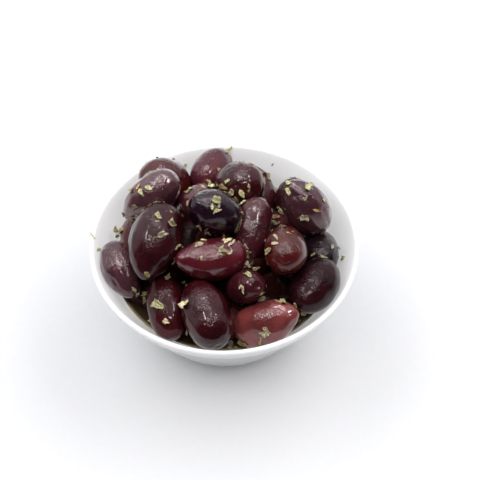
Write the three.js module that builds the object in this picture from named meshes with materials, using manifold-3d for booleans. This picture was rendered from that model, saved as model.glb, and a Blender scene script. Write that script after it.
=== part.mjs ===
// A small white porcelain bowl heaped with glossy table olives, a little oil round them and dried herb flakes on top.
// Millimetres, +Z up, origin on the table under the middle of the bowl. The front of the dish faces -Y.
import * as THREE from 'three';
import { mergeVertices } from 'three/addons/utils/BufferGeometryUtils.js';
import Module from 'manifold-3d';

const wasm = await Module();
wasm.setup();

// ---- Bowl ----
const BOWL_HEIGHT = 38;
const RIM_RADIUS = 50;
const LIP_THICKNESS = 2.4;
const LIP_BAND = 4;
const LIP_BAND_TAPER = 0.8;
const WALL_BASE_RADIUS = 32.3;
const WALL_BASE_HEIGHT = 2.5;
const WALL_THICKNESS = 5.2;
const FOOT_RADIUS = 30.5;
const FOOT_RING_WIDTH = 3.5;
const FOOT_RECESS = 1.6;
const FOOT_CHAMFER = 0.5;
const FLOOR_HEIGHT = 6;
const FLOOR_RADIUS = 24;
const FLOOR_CORNER_HEIGHT = 10;
const BOWL_SIDES = 72;
const LIP_STEPS = 6;

// ---- Filling ----
const GAP = 0.3;
const OIL_LEVEL = 27;
const CORE_FOOT_RADIUS = 23;
const CORE_SHOULDER_RADIUS = 31;
const CORE_SHOULDER_HEIGHT = 28;
const CORE_TOP = 36;
const HEAP_SIDES = 40;
const CORE_DOME_STEPS = 5;
const CLEAR_ABOVE = 80;

// ---- Olives ----
const OLIVE_SIDES = 14;
const OLIVE_RINGS = 9;
const DEEP_OLIVE_SIDES = 10;
const DEEP_OLIVE_RINGS = 6;
const PACKED_OLIVE_SIDES = 8;
const PACKED_OLIVE_RINGS = 5;
const TIP_NARROWING = 0.35;
const STALK_FULLNESS = 2.4;
const STALK_ROUNDING = 0.48;
const STEM_PIT_RADIUS = 1.5;
const STEM_PIT_DEPTH = 1;

// Each olive: middle, bearing of its pointed end from +X toward +Y, rise of that end (degrees), length, width, how
// pointed it is (0 to 1), how blunt its stalk end, how far its ends curl up, and whether the pit of its stalk shows.
const OLIVES = [
  // crown of the heap
  { at: [-24, -10, 50], bearing: -105, rise: -14, long: 30, wide: 18.5, tip: 0.9 },
  { at: [-3, 1.5, 52.5], bearing: -159, rise: 46, long: 23.5, wide: 17, tip: 0.2 },
  { at: [-27, 11, 50], bearing: -158, rise: -38, long: 26, wide: 15.5, tip: 0.3 },
  { at: [5.5, 20.5, 47], bearing: 132, rise: -29, long: 22, wide: 17, tip: 0.1 },
  { at: [30, 9, 47], bearing: 157, rise: 57, long: 25.5, wide: 17, tip: 1 },
  { at: [22, -11.5, 47], bearing: 88, rise: -26, long: 24, wide: 16, tip: 0.3, pit: true },
  { at: [-5, -15, 46], bearing: -163, rise: 13, long: 26.5, wide: 14.8, tip: 0.8, blunt: 3.4, curl: 2 },
  { at: [10.4, 0, 44], bearing: -103, rise: -24, long: 26, wide: 14, tip: 0.3, blunt: 2.8 },
  // round the middle
  { at: [-23, 27, 41], bearing: 27, rise: -45, long: 23, wide: 18, tip: 0.1 },
  { at: [-5, 35, 39], bearing: 68, rise: -10, long: 24, wide: 15, tip: 0.2 },
  { at: [-8.5, 17, 40], bearing: 53, rise: -14, long: 23, wide: 16, tip: 0.2 },
  { at: [12, 30.5, 32], bearing: 111, rise: 8, long: 24, wide: 15.5, tip: 0.3 },
  { at: [26, 23.5, 35], bearing: 76, rise: -14, long: 22, wide: 14, tip: 0.2 },
  { at: [7.5, -23, 40], bearing: 129, rise: -49, long: 22, wide: 12.5, tip: 0.3, pit: true },
  // along the wall
  { at: [-37.5, -12, 36], bearing: -65, rise: -10, long: 24, wide: 14.5, tip: 0.4 },
  { at: [-33, 9.5, 31], bearing: 89, rise: -17, long: 22, wide: 14, tip: 0.2 },
  { at: [36, -1, 33], bearing: 92, rise: -20, long: 22, wide: 14, tip: 0.2 },
  { at: [32.5, -21, 38.5], bearing: -117, rise: 9, long: 25, wide: 17, tip: 0.3 },
  { at: [-20.5, -27.5, 35], bearing: 102, rise: 17, long: 26, wide: 13.8, tip: 0.2, blunt: 3.6 },
  { at: [-6, -34, 39.5], bearing: 110, rise: 5, long: 27.5, wide: 17, tip: 0.1, blunt: 2.8 },
  { at: [15.5, -34, 34], bearing: -3, rise: 35, long: 26, wide: 16.3, tip: 0.9, blunt: 4 },
];
// Deeper, seen in the gaps between the others.
const DEEP_OLIVES = [
  { at: [18, -15.5, 29.5], bearing: 51, rise: -34, long: 24, wide: 13.5, tip: 0.2 },
  { at: [-12, 4.5, 34], bearing: 111, rise: -14, long: 24, wide: 14.5, tip: 0.2 },
  { at: [-17, -7.5, 31], bearing: -141, rise: 46, long: 24, wide: 13.5, tip: 0.2 },
  { at: [22, 13, 31], bearing: 88, rise: -23, long: 22, wide: 13, tip: 0.2 },
  { at: [-28, -11, 22], bearing: -120, rise: 31, long: 24, wide: 14.5, tip: 0.2 },
  { at: [-15, 29, 28], bearing: 20, rise: 5, long: 24, wide: 15, tip: 0.2 },
  { at: [2, 29, 25], bearing: 100, rise: 10, long: 24, wide: 15, tip: 0.2 },
  { at: [24, 20, 24], bearing: -40, rise: 20, long: 23, wide: 14.5, tip: 0.2 },
  { at: [8, -12, 33], bearing: 30, rise: 10, long: 23, wide: 14.5, tip: 0.2 },
  { at: [4, -26, 26], bearing: 60, rise: 0, long: 23, wide: 14.5, tip: 0.2 },
  { at: [-29, 2, 25], bearing: 95, rise: 5, long: 23, wide: 14, tip: 0.2 },
  { at: [-26, 2.5, 38], bearing: 85, rise: 0, long: 22, wide: 14.5, tip: 0.2 },
];
// Packed under all of those, ring by ring, each lying round its ring, swung and tipped a little (degrees).
const PACKED_RINGS = [
  { radius: 0, count: 1, height: 37 },
  { radius: 14, count: 6, height: 35.5 },
  { radius: 26, count: 11, height: 29.5 },
];
const PACKED_LONG = 22;
const PACKED_WIDE = 14;
const PACKED_TIP = 0.2;
const PACKED_SWING = 35;
const PACKED_RISE = 12;

// ---- Herb flakes ----
const FLAKE_COUNT = 44;
const FLAKE_LONGEST = 3.6;
const FLAKE_SHORTEST = 1.8;
const FLAKE_WIDTH_SHARE = 0.6;
const FLAKE_THICKNESS = 0.9;
const FLAKE_SIDES = 6;
const FLAKE_RINGS = 3;
const FLAKE_SEED = 20;
const FLAKE_LEAST_RISE = 0.35;
const FLAKE_REACH = 0.8;
const FLAKE_SPACING = 4;
const FLAKE_CLEARANCE = 0.35;
const FLAKE_TRIES = 60;
const OIL_FLAKES = [{ bearing: -130, radius: 38.5 }, { bearing: -86, radius: 39.8 }, { bearing: -45, radius: 38.5 }];
const WALL_FLAKES = [{ bearing: 167, depth: 4 }, { bearing: 60, depth: 3 }, { bearing: -4, depth: 5 }];

const WELD_DISTANCE = 1e-4;

const degrees = (angle) => THREE.MathUtils.degToRad(angle);

// Small seeded draw between 0 and 1, the same on every run.
function makeDraw(seed) {
  let state = seed;
  return () => {
    state = (state * 1664525 + 1013904223) % 4294967296;
    return state / 4294967296;
  };
}

// A closed geometry as one solid, facing outward.
function solid(geometry) {
  const bare = new THREE.BufferGeometry();
  bare.setAttribute('position', geometry.getAttribute('position'));
  if (geometry.index) {
    bare.setIndex(geometry.index);
  }
  const joined = mergeVertices(bare, WELD_DISTANCE);
  const corners = joined.getAttribute('position').array;
  const faces = joined.index.array;
  const kept = [];
  let volume = 0;
  const [a, b, c] = [new THREE.Vector3(), new THREE.Vector3(), new THREE.Vector3()];
  for (let i = 0; i < faces.length; i += 3) {
    const [p, q, r] = [faces[i], faces[i + 1], faces[i + 2]];
    if (p === q || q === r || r === p) {
      continue;
    }
    kept.push(p, q, r);
    a.fromArray(corners, 3 * p);
    b.fromArray(corners, 3 * q);
    c.fromArray(corners, 3 * r);
    volume += a.dot(b.cross(c)) / 6;
  }
  if (volume < 0) {
    kept.reverse();
  }
  const mesh = new wasm.Mesh({
    numProp: 3,
    vertProperties: Float32Array.from(corners),
    triVerts: Uint32Array.from(kept),
  });
  return new wasm.Manifold(mesh);
}

// Solid of revolution about +Z from [radius, height] pairs.
function turned(profile, sides) {
  const outline = profile.map(([radius, height]) => new THREE.Vector2(radius, height));
  return solid(new THREE.LatheGeometry(outline, sides).rotateX(Math.PI / 2));
}

// Inner wall of the bowl: radius at a height, pushed inward by a clearance.
function innerRadius(height, clearance = 0) {
  const inside = RIM_RADIUS - LIP_THICKNESS - clearance;
  const below = Math.max(0, BOWL_HEIGHT - LIP_THICKNESS / 2 - height);
  const foot = WALL_BASE_RADIUS + (FLOOR_CORNER_HEIGHT - WALL_BASE_HEIGHT) * wallSlope() - WALL_THICKNESS;
  const drop = BOWL_HEIGHT - LIP_THICKNESS / 2 - FLOOR_CORNER_HEIGHT;
  return inside - (RIM_RADIUS - LIP_THICKNESS - foot) * (below / drop);
}

function wallSlope() {
  const bandFoot = RIM_RADIUS - LIP_BAND_TAPER;
  return (bandFoot - WALL_BASE_RADIUS) / (BOWL_HEIGHT - LIP_BAND - WALL_BASE_HEIGHT);
}

function bowlProfile() {
  const lipRadius = LIP_THICKNESS / 2;
  const lip = [];
  for (let i = 0; i <= LIP_STEPS; i += 1) {
    const turn = (Math.PI * i) / LIP_STEPS;
    lip.push([
      RIM_RADIUS - lipRadius + lipRadius * Math.cos(turn),
      BOWL_HEIGHT - lipRadius + lipRadius * Math.sin(turn),
    ]);
  }
  return [
    [0, FOOT_RECESS],
    [FOOT_RADIUS - FOOT_RING_WIDTH - FOOT_CHAMFER, FOOT_RECESS],
    [FOOT_RADIUS - FOOT_RING_WIDTH, 0],
    [FOOT_RADIUS - FOOT_CHAMFER, 0],
    [FOOT_RADIUS, FOOT_CHAMFER],
    [FOOT_RADIUS, WALL_BASE_HEIGHT - FOOT_CHAMFER],
    [WALL_BASE_RADIUS, WALL_BASE_HEIGHT],
    [RIM_RADIUS - LIP_BAND_TAPER, BOWL_HEIGHT - LIP_BAND],
    ...lip,
    [innerRadius(FLOOR_CORNER_HEIGHT), FLOOR_CORNER_HEIGHT],
    [FLOOR_RADIUS, FLOOR_HEIGHT],
    [0, FLOOR_HEIGHT],
  ];
}

// Outer side of the packed middle of the heap, from the floor of the bowl to its shoulder.
function coreRadius(height) {
  const share = (height - FLOOR_HEIGHT) / (CORE_SHOULDER_HEIGHT - FLOOR_HEIGHT);
  return CORE_FOOT_RADIUS + (CORE_SHOULDER_RADIUS - CORE_FOOT_RADIUS) * share;
}

function coreProfile() {
  const dome = [];
  for (let i = 1; i < CORE_DOME_STEPS; i += 1) {
    const turn = (Math.PI / 2) * (i / CORE_DOME_STEPS);
    dome.push([
      CORE_SHOULDER_RADIUS * Math.cos(turn),
      CORE_SHOULDER_HEIGHT + (CORE_TOP - CORE_SHOULDER_HEIGHT) * Math.sin(turn),
    ]);
  }
  return [
    [0, FLOOR_HEIGHT + GAP],
    [coreRadius(FLOOR_HEIGHT + GAP), FLOOR_HEIGHT + GAP],
    [CORE_SHOULDER_RADIUS, CORE_SHOULDER_HEIGHT],
    ...dome,
    [0, CORE_TOP],
  ];
}

// Room left for the heap: the core's own outline up to the oil, then everything inside the wall and above the lip.
function heapRoom() {
  const above = OIL_LEVEL + GAP;
  return turned([
    [0, FLOOR_HEIGHT + GAP],
    [coreRadius(FLOOR_HEIGHT + GAP), FLOOR_HEIGHT + GAP],
    [coreRadius(above), above],
    [innerRadius(above, GAP), above],
    [innerRadius(BOWL_HEIGHT, GAP), BOWL_HEIGHT + GAP],
    [RIM_RADIUS + GAP, BOWL_HEIGHT + GAP],
    [RIM_RADIUS + GAP, CLEAR_ABOVE],
    [0, CLEAR_ABOVE],
  ], HEAP_SIDES);
}

// The oil stands between the core and the wall, up to its level.
function oilPool() {
  const low = FLOOR_CORNER_HEIGHT + GAP;
  return turned([
    [coreRadius(low) + GAP, low],
    [innerRadius(low, GAP), low],
    [innerRadius(OIL_LEVEL, GAP), OIL_LEVEL],
    [coreRadius(OIL_LEVEL) + GAP, OIL_LEVEL],
    [coreRadius(low) + GAP, low],
  ], BOWL_SIDES);
}

// Share of an olive's greatest radius, from its stalk end (-1) to its pointed end (1).
function fullness(place, olive) {
  if (place < 0) {
    return (1 - Math.abs(place) ** (olive.blunt ?? STALK_FULLNESS)) ** STALK_ROUNDING;
  }
  return Math.sqrt(1 - place * place) * (1 - olive.tip * TIP_NARROWING * place ** 2);
}

function axisOf(olive) {
  const [turn, rise] = [degrees(olive.bearing), degrees(olive.rise)];
  return new THREE.Vector3(
    Math.cos(rise) * Math.cos(turn),
    Math.cos(rise) * Math.sin(turn),
    Math.sin(rise),
  );
}

// Where the middle line of an olive runs, from one end (-1) to the other (1): straight, or curled up at both ends.
function middleLine(olive, place) {
  const axis = axisOf(olive);
  const lift = new THREE.Vector3(0, 0, 1).addScaledVector(axis, -axis.z).normalize();
  return new THREE.Vector3(...olive.at)
    .addScaledVector(axis, (place * olive.long) / 2)
    .addScaledVector(lift, (olive.curl ?? 0) * place ** 2);
}

// A ring of flat facets lies inside its round form, so its corners stand out by half of what that takes off.
function facetRelief(sides) {
  return 1 + (1 - Math.cos(Math.PI / sides)) / 2;
}

function oliveSolid(olive, sides, rings) {
  const profile = [];
  for (let i = 0; i <= rings; i += 1) {
    const place = -Math.cos((Math.PI * i) / rings);
    const end = i === 0 || i === rings;
    const radius = end ? 0 : (olive.wide / 2) * facetRelief(sides) * fullness(place, olive);
    profile.push(new THREE.Vector2(radius, (place * olive.long) / 2));
  }
  if (olive.pit) {
    profile.splice(
      0,
      1,
      new THREE.Vector2(0, STEM_PIT_DEPTH - olive.long / 2),
      new THREE.Vector2(STEM_PIT_RADIUS, -olive.long / 2),
    );
  }
  const geometry = new THREE.LatheGeometry(profile, sides);
  const stand = new THREE.Quaternion().setFromUnitVectors(new THREE.Vector3(0, 1, 0), axisOf(olive));
  const corners = geometry.getAttribute('position');
  const corner = new THREE.Vector3();
  for (let i = 0; i < corners.count; i += 1) {
    corner.fromBufferAttribute(corners, i);
    const along = corner.y;
    corner.setY(0).applyQuaternion(stand).add(middleLine(olive, (2 * along) / olive.long));
    corners.setXYZ(i, corner.x, corner.y, corner.z);
  }
  return solid(geometry);
}

// The packed olives of one ring.
function packedRing({ radius, count, height }) {
  return Array.from({ length: count }, (_, i) => {
    const bearing = (360 * i) / count;
    const turn = degrees(bearing);
    return {
      at: [radius * Math.cos(turn), radius * Math.sin(turn), height],
      bearing: bearing + 90 + PACKED_SWING * Math.sin(count + 2 * i),
      rise: PACKED_RISE * Math.cos(count + 3 * i),
      long: PACKED_LONG,
      wide: PACKED_WIDE,
      tip: PACKED_TIP,
    };
  });
}

// How far inside an olive a point lies: above 0 is inside.
function insideOlive(point, olive) {
  const away = point.clone().sub(new THREE.Vector3(...olive.at));
  const along = away.dot(axisOf(olive));
  const across = Math.sqrt(Math.max(0, away.lengthSq() - along * along));
  return 1 - Math.hypot(along / (olive.long / 2), across / (olive.wide / 2));
}

// One flake: a thin leaf bit half sunk into what it lies on.
function flakeSolid(point, normal, long, turn) {
  const geometry = new THREE.SphereGeometry(0.5, FLAKE_SIDES, FLAKE_RINGS);
  geometry.rotateX(Math.PI / 2);
  geometry.scale(long, long * FLAKE_WIDTH_SHARE, FLAKE_THICKNESS);
  geometry.rotateZ(turn);
  geometry.applyQuaternion(new THREE.Quaternion().setFromUnitVectors(new THREE.Vector3(0, 0, 1), normal));
  geometry.translate(point.x, point.y, point.z);
  return solid(geometry);
}

// Flakes fall on the upper sides of the olives in turn, the largest first, clear of each other and of the bowl.
function heapFlakes() {
  const draw = makeDraw(FLAKE_SEED);
  const flakes = [];
  const taken = [];
  let tries = 0;
  while (flakes.length < FLAKE_COUNT && tries < FLAKE_COUNT * FLAKE_TRIES) {
    tries += 1;
    const olive = OLIVES[tries % OLIVES.length];
    const place = FLAKE_REACH * (2 * draw() - 1);
    const axis = axisOf(olive);
    const round = 2 * Math.PI * draw();
    const side = new THREE.Vector3(Math.cos(round), Math.sin(round), draw()).cross(axis).normalize();
    const point = middleLine(olive, place).addScaledVector(side, (fullness(place, olive) * olive.wide) / 2);
    const turn = Math.PI * draw();
    const normal = side.clone().addScaledVector(axis, (place * olive.wide) / olive.long).normalize();
    const share = flakes.length / FLAKE_COUNT;
    const long = FLAKE_LONGEST + (FLAKE_SHORTEST - FLAKE_LONGEST) * share;
    const buried = OLIVES.some((other) => other !== olive && insideOlive(point, other) > -FLAKE_CLEARANCE);
    const crowded = taken.some((other) => other.distanceTo(point) < FLAKE_SPACING);
    const byWall = point.z < BOWL_HEIGHT + long && Math.hypot(point.x, point.y) > innerRadius(point.z) - long;
    if (normal.z < FLAKE_LEAST_RISE || buried || crowded || byWall || point.z < OIL_LEVEL + long) {
      continue;
    }
    flakes.push(flakeSolid(point, normal, long, turn));
    taken.push(point);
  }
  return flakes;
}

function makeMesh(manifold, name, colour, roughness) {
  const { vertProperties, triVerts } = manifold.getMesh();
  const geometry = new THREE.BufferGeometry();
  geometry.setAttribute('position', new THREE.BufferAttribute(Float32Array.from(vertProperties), 3));
  geometry.setIndex(new THREE.BufferAttribute(Uint32Array.from(triVerts), 1));
  geometry.computeVertexNormals();
  const material = new THREE.MeshStandardMaterial({ color: colour, roughness, metalness: 0 });
  const mesh = new THREE.Mesh(geometry, material);
  mesh.name = name;
  return mesh;
}

const join = (solids) => solids.reduce((whole, next) => whole.add(next));

// The main body, without the scraps that trimming cuts loose.
function largest(solids) {
  const pieces = solids.decompose();
  pieces.sort((one, other) => other.volume() - one.volume());
  return pieces[0];
}

// A flake at a bearing, radius and height, facing inward by the cosine and up by the sine of the given lean.
function flakeInBowl(bearing, radius, height, lean) {
  const turn = degrees(bearing);
  const [across, away] = [Math.cos(turn), Math.sin(turn)];
  const point = new THREE.Vector3(radius * across, radius * away, height);
  const normal = new THREE.Vector3(-Math.cos(lean) * across, -Math.cos(lean) * away, Math.sin(lean));
  return flakeSolid(point, normal, FLAKE_SHORTEST, turn);
}

const wallLean = Math.atan2(innerRadius(OIL_LEVEL + 1) - innerRadius(OIL_LEVEL), 1);
const wallFlakes = WALL_FLAKES.map(({ bearing, depth }) => {
  const height = BOWL_HEIGHT - depth;
  return flakeInBowl(bearing, innerRadius(height), height, wallLean);
});
const oilFlakes = OIL_FLAKES.map(({ bearing, radius }) => flakeInBowl(bearing, radius, OIL_LEVEL, Math.PI / 2));

const bowl = join([turned(bowlProfile(), BOWL_SIDES), ...wallFlakes]);
const topOlives = OLIVES.map((olive) => oliveSolid(olive, OLIVE_SIDES, OLIVE_RINGS));
const deepOlives = DEEP_OLIVES.map((olive) => oliveSolid(olive, DEEP_OLIVE_SIDES, DEEP_OLIVE_RINGS));
const packedOlives = PACKED_RINGS.flatMap(packedRing)
  .map((olive) => oliveSolid(olive, PACKED_OLIVE_SIDES, PACKED_OLIVE_RINGS));
const core = turned(coreProfile(), HEAP_SIDES);
const heap = join([core, ...packedOlives, ...deepOlives, ...topOlives, ...heapFlakes()]);
const olives = largest(heap.intersect(heapRoom()));
const oil = join([oilPool(), ...oilFlakes]);

const group = new THREE.Group();
group.name = 'dish_of_olives';
group.add(makeMesh(bowl, 'bowl', 0xf2f3f5, 0.12));
group.add(makeMesh(olives, 'olives', 0x4a2328, 0.25));
group.add(makeMesh(oil, 'oil', 0x4f4020, 0.08));

export default group;
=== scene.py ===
# A small white porcelain bowl heaped with oiled table olives, a little oil round them and dried herb flakes on top.
# Metres, +Z up, the origin on the table under the middle of the bowl and the front of the dish facing -Y.
import math
import random

import bmesh
import bpy
from mathutils import Matrix, Vector, noise
from mathutils.bvhtree import BVHTree


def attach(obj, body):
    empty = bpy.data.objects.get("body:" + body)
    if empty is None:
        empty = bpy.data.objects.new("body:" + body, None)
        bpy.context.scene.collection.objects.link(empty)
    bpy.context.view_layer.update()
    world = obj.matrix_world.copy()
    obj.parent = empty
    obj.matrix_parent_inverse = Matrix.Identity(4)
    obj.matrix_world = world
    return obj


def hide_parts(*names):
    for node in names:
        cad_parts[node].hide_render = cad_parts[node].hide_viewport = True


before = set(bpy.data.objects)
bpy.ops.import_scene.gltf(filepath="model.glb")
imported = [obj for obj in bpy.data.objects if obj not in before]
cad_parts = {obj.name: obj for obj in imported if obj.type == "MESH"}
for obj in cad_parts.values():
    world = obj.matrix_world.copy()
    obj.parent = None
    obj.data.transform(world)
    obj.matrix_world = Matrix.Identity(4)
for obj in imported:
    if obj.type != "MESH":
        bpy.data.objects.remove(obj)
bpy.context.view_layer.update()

MM = 0.001

# ---- Bowl, in millimetres ----
BOWL_HEIGHT = 38
RIM_RADIUS = 50
LIP_THICKNESS = 2.4
LIP_STEPS = 6
LIP_BAND = 4
LIP_BAND_TAPER = 0.8
LIP_CURVE_END = 34.5
WALL_BASE_RADIUS = 32.3
WALL_BASE_HEIGHT = 2.5
WALL_THICKNESS = 5.2
FOOT_RADIUS = 30.5
FOOT_RING_WIDTH = 3.5
FOOT_RECESS = 1.6
FLOOR_HEIGHT = 6
FLOOR_RADIUS = 24
FLOOR_CORNER_HEIGHT = 10
BOWL_TURN_STEPS = 144

# ---- Filling, in millimetres ----
OIL_LEVEL = 27
OIL_TURN_STEPS = 96
CLEARANCE = 0.4
CORE_FOOT_RADIUS = 23
CORE_SHOULDER_RADIUS = 31
CORE_SHOULDER_HEIGHT = 28
CORE_TOP = 36
CORE_DOME_STEPS = 6
CORE_TURN_STEPS = 40
# The core is coloured near black: painted shade for the gaps that look down into the heap.
CORE_SHADE = "1c0c0e"

# ---- Shape of an olive: lengths in millimetres, the rest as shares ----
TIP_NARROWING = 0.35
STALK_ROUNDING = 0.48
STEM_PIT_RADIUS = 1.5
FLAT_SIDE_LEAST, FLAT_SIDE_MOST = 0.02, 0.07
DENT_SIZE, DENT_DEPTH = 8, 0.35
SMALL_DENT_SIZE, SMALL_DENT_DEPTH = 4, 0.16
FOLD_WIDTH, FOLD_LENGTH, FOLD_DEPTH = 2.6, 11, 0.8
GRAIN_SPREAD = 500
# Sides round an olive and rings along it.
SHOWN_FINENESS, DEEP_FINENESS, PACKED_FINENESS = (64, 44), (36, 24), (32, 20)
DEEP_SEED, PACKED_SEED = 100, 200

# ---- Camera and light, in metres, with the sensor in millimetres ----
CAMERA_ELEVATION = math.radians(50.8)
CAMERA_TO_RIM = 0.4
FOCAL_PIXELS = 1076.9
RIM_ACROSS_PIXELS = -15.69
RIM_DOWN_PIXELS = 0.92
IMAGE_SIDE = 480
SENSOR_WIDTH = 36
LAMP_DISTANCE = 0.65
LAMP_COLOUR = "fffdfc"
TUBE_SIZE = (0.24, 0.022)
TABLE_REACH = 6
TENT_COLOUR = "f6f7fb"
TENT_MIDDLE = (-0.1, 0.965, 0.24)
TENT_EDGE_OUTER, TENT_EDGE_INNER = -0.05, 0.25
TENT_LOW, TENT_HIGH = 0.62, 1.08
TENT_LEFT, TENT_RIGHT = 1.2, 0.8
ROOM_GLOW = 0.04


def at(*millimetres):
    return Vector(millimetres) * MM


def linear(hex_colour):
    """sRGB hex to linear red, green, blue and a full alpha."""
    shares = [int(hex_colour[i:i + 2], 16) / 255 for i in (0, 2, 4)]
    return tuple(s / 12.92 if s <= 0.04045 else ((s + 0.055) / 1.055) ** 2.4 for s in shares) + (1.0,)


# ---- Skin tones of the cured fruit, darkest first ----
BLACK_VIOLET = "180a1c"
BLUE_BLACK = "18141a"
BLACK_PLUM = "210b12"
BLACK_BROWN = "2a1215"
BLACK_RED = "2b0810"
BLACK_WINE = "300810"
DARK_WINE = "3a0e14"
WINE = "421820"
RED_BROWN = "4c1412"
PLUM = "50202a"
BRIGHT_WINE = "561420"
DUSTY_PLUM = "4a2a32"
ROSE = "783837"

# ---- Olives ----
# mid is the middle and long and wide the size, in millimetres. bearing, from +X toward +Y, and rise are those of the
# pointed end, in degrees. tip is how pointed that end is, blunt how full the stalk end, and curl how far the ends bend
# up, in millimetres. wrinkle is how creased the skin is, film how rough the oil on it, shine how wet it looks, and pit
# the depth of the stalk pit, in millimetres. A row leaves out what is as here:
PLAIN_OLIVE = dict(tip=0.2, blunt=2.4, curl=0, wrinkle=0.3, film=0.1, shine=0.1, pit=0.35)
OLIVES = {
    "big_left": dict(
        mid=(-24.4, -10, 50), bearing=-105, rise=-14, long=30.4, wide=19.3, tip=0.9,
        skin=BLACK_RED, wrinkle=0.35, film=0.04, shine=0.44,
    ),
    "black_crown": dict(
        mid=(-3, 1.5, 52.5), bearing=-159, rise=46, long=23.5, wide=17, tip=0.2,
        skin=BLACK_VIOLET, wrinkle=0.15, film=0.035, shine=0.58,
    ),
    "ring_left": dict(
        mid=(-27, 11, 50), bearing=-158, rise=-38, long=26, wide=15.5, tip=0.3,
        skin=DUSTY_PLUM, wrinkle=0.4, film=0.03, shine=1.9,
    ),
    "crown_back": dict(
        mid=(5.5, 20.5, 47), bearing=132, rise=-29, long=22, wide=17, tip=0.1,
        skin=DARK_WINE, wrinkle=0.3, film=0.05, shine=0.55,
    ),
    "wrinkled_right": dict(
        mid=(30, 9, 47), bearing=157, rise=57, long=25.5, wide=17, tip=1,
        skin=DUSTY_PLUM, wrinkle=0.75, film=0.04, shine=1.05,
    ),
    "brown_scar": dict(
        mid=(22, -11.5, 47), bearing=88, rise=-26, long=24, wide=16, tip=0.3,
        skin=RED_BROWN, wrinkle=0.2, film=0.07, shine=0.55, pit=0.1,
    ),
    "bright_red": dict(
        mid=(-5, -15.3, 45.8), bearing=-163, rise=13, long=26.5, wide=15.5, tip=0.55, blunt=3.4, curl=2,
        skin=BRIGHT_WINE, wrinkle=0.35, film=0.06, shine=0.9,
    ),
    "tall_middle": dict(
        mid=(10.4, 0, 44), bearing=-103, rise=-24, long=26, wide=14, tip=0.3, blunt=2.8,
        skin=WINE, wrinkle=0.25, film=0.04, shine=0.72,
    ),
    "back_left": dict(
        mid=(-23, 27, 41), bearing=27, rise=-45, long=23, wide=18, tip=0.1,
        skin=RED_BROWN, wrinkle=0.2, film=0.1, shine=0.65,
    ),
    "back_tall": dict(
        mid=(-5, 35, 39), bearing=68, rise=-10, long=24, wide=15, tip=0.2,
        skin=PLUM, wrinkle=0.2, film=0.03, shine=0.5,
    ),
    "under_black": dict(
        mid=(-8.5, 17, 40), bearing=53, rise=-14, long=23, wide=16, tip=0.2,
        skin=PLUM, wrinkle=0.3, film=0.08, shine=1.1,
    ),
    "back_middle": dict(
        mid=(12, 30.5, 32), bearing=111, rise=8, long=24, wide=15.5, tip=0.3,
        skin=WINE, wrinkle=0.3, film=0.07, shine=0.42,
    ),
    "back_right": dict(
        mid=(26, 23.5, 35), bearing=76, rise=-14, long=22, wide=14, tip=0.2,
        skin=BLACK_BROWN, wrinkle=0.3, film=0.07, shine=0.06,
    ),
    "little_pit": dict(
        mid=(7.5, -23, 40), bearing=129, rise=-49, long=22, wide=12.5, tip=0.3,
        skin=WINE, wrinkle=0.3, film=0.06, shine=0.38, pit=1,
    ),
    "wall_left": dict(
        mid=(-37.5, -12, 36), bearing=-65, rise=-10, long=24, wide=14.5, tip=0.4,
        skin=DUSTY_PLUM, wrinkle=0.6, film=0.06, shine=0.8,
    ),
    "wall_left_low": dict(
        mid=(-33, 9.5, 31), bearing=89, rise=-17, long=22, wide=14, tip=0.2,
        skin=RED_BROWN, wrinkle=0.3, film=0.12, shine=0.3,
    ),
    "wall_right": dict(
        mid=(36, -1, 33), bearing=92, rise=-20, long=22, wide=14, tip=0.2,
        skin=BLUE_BLACK, wrinkle=0.3, film=0.03, shine=0.42,
    ),
    "big_right": dict(
        mid=(32.5, -21, 38.5), bearing=-117, rise=9, long=25, wide=17, tip=0.3,
        skin=BLACK_PLUM, wrinkle=0.15, film=0.1, shine=0.23,
    ),
    "front_left": dict(
        mid=(-20.5, -27.5, 35), bearing=102, rise=17, long=26, wide=13.8, tip=0.2, blunt=3.6,
        skin=DARK_WINE, wrinkle=0.35, film=0.035, shine=0.3,
    ),
    "front_middle": dict(
        mid=(-6, -34, 39.5), bearing=110, rise=5, long=27.5, wide=17, tip=0.1, blunt=2.8,
        skin=BLACK_WINE, wrinkle=0.55, film=0.035, shine=0.42,
    ),
    "front_right": dict(
        mid=(15.5, -34, 34), bearing=-3, rise=35, long=26, wide=16.3, tip=0.9, blunt=4,
        skin=ROSE, wrinkle=0.4, film=0.07, shine=0.95,
    ),
}
# Deeper, seen in the gaps or only filling the bowl.
DEEP_OLIVES = {
    # deep_right's skin is darkened as painted shade for the dark gap it shows through.
    "deep_right": dict(mid=(18, -15.5, 29.5), bearing=51, rise=-34, long=24, wide=13.5, skin="200c0e"),
    "deep_middle": dict(mid=(-12, 4.5, 34), bearing=111, rise=-14, long=24, wide=14.5, skin="4a2022"),
    "deep_left": dict(mid=(-17, -7.5, 31), bearing=-141, rise=46, long=24, wide=13.5, skin="481d21"),
    "deep_back_right": dict(mid=(22, 13, 31), bearing=88, rise=-23, long=22, wide=13, skin="502022"),
    "deep_wall_left": dict(mid=(-28, -11, 22), bearing=-120, rise=31, long=24, wide=14.5, skin="341a1c"),
    "deep_back_left": dict(mid=(-15, 29, 28), bearing=20, rise=5, long=24, wide=15, skin="4a2426"),
    "deep_back": dict(mid=(2, 29, 25), bearing=100, rise=10, long=24, wide=15, skin="3c1c20"),
    "deep_back_wall": dict(mid=(24, 20, 24), bearing=-40, rise=20, long=23, wide=14.5, skin="4a2022"),
    "deep_front": dict(mid=(8, -12, 33), bearing=30, rise=10, long=23, wide=14.5, skin="3e1a1e"),
    "deep_front_low": dict(mid=(4, -26, 26), bearing=60, rise=0, long=23, wide=14.5, skin="4a1e20"),
    "deep_left_low": dict(mid=(-29, 2, 25), bearing=95, rise=5, long=23, wide=14, skin="3e1e20"),
    "deep_left_high": dict(mid=(-26, 2.5, 38), bearing=85, rise=0, long=22, wide=14.5, skin="2e1416"),
}
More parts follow.
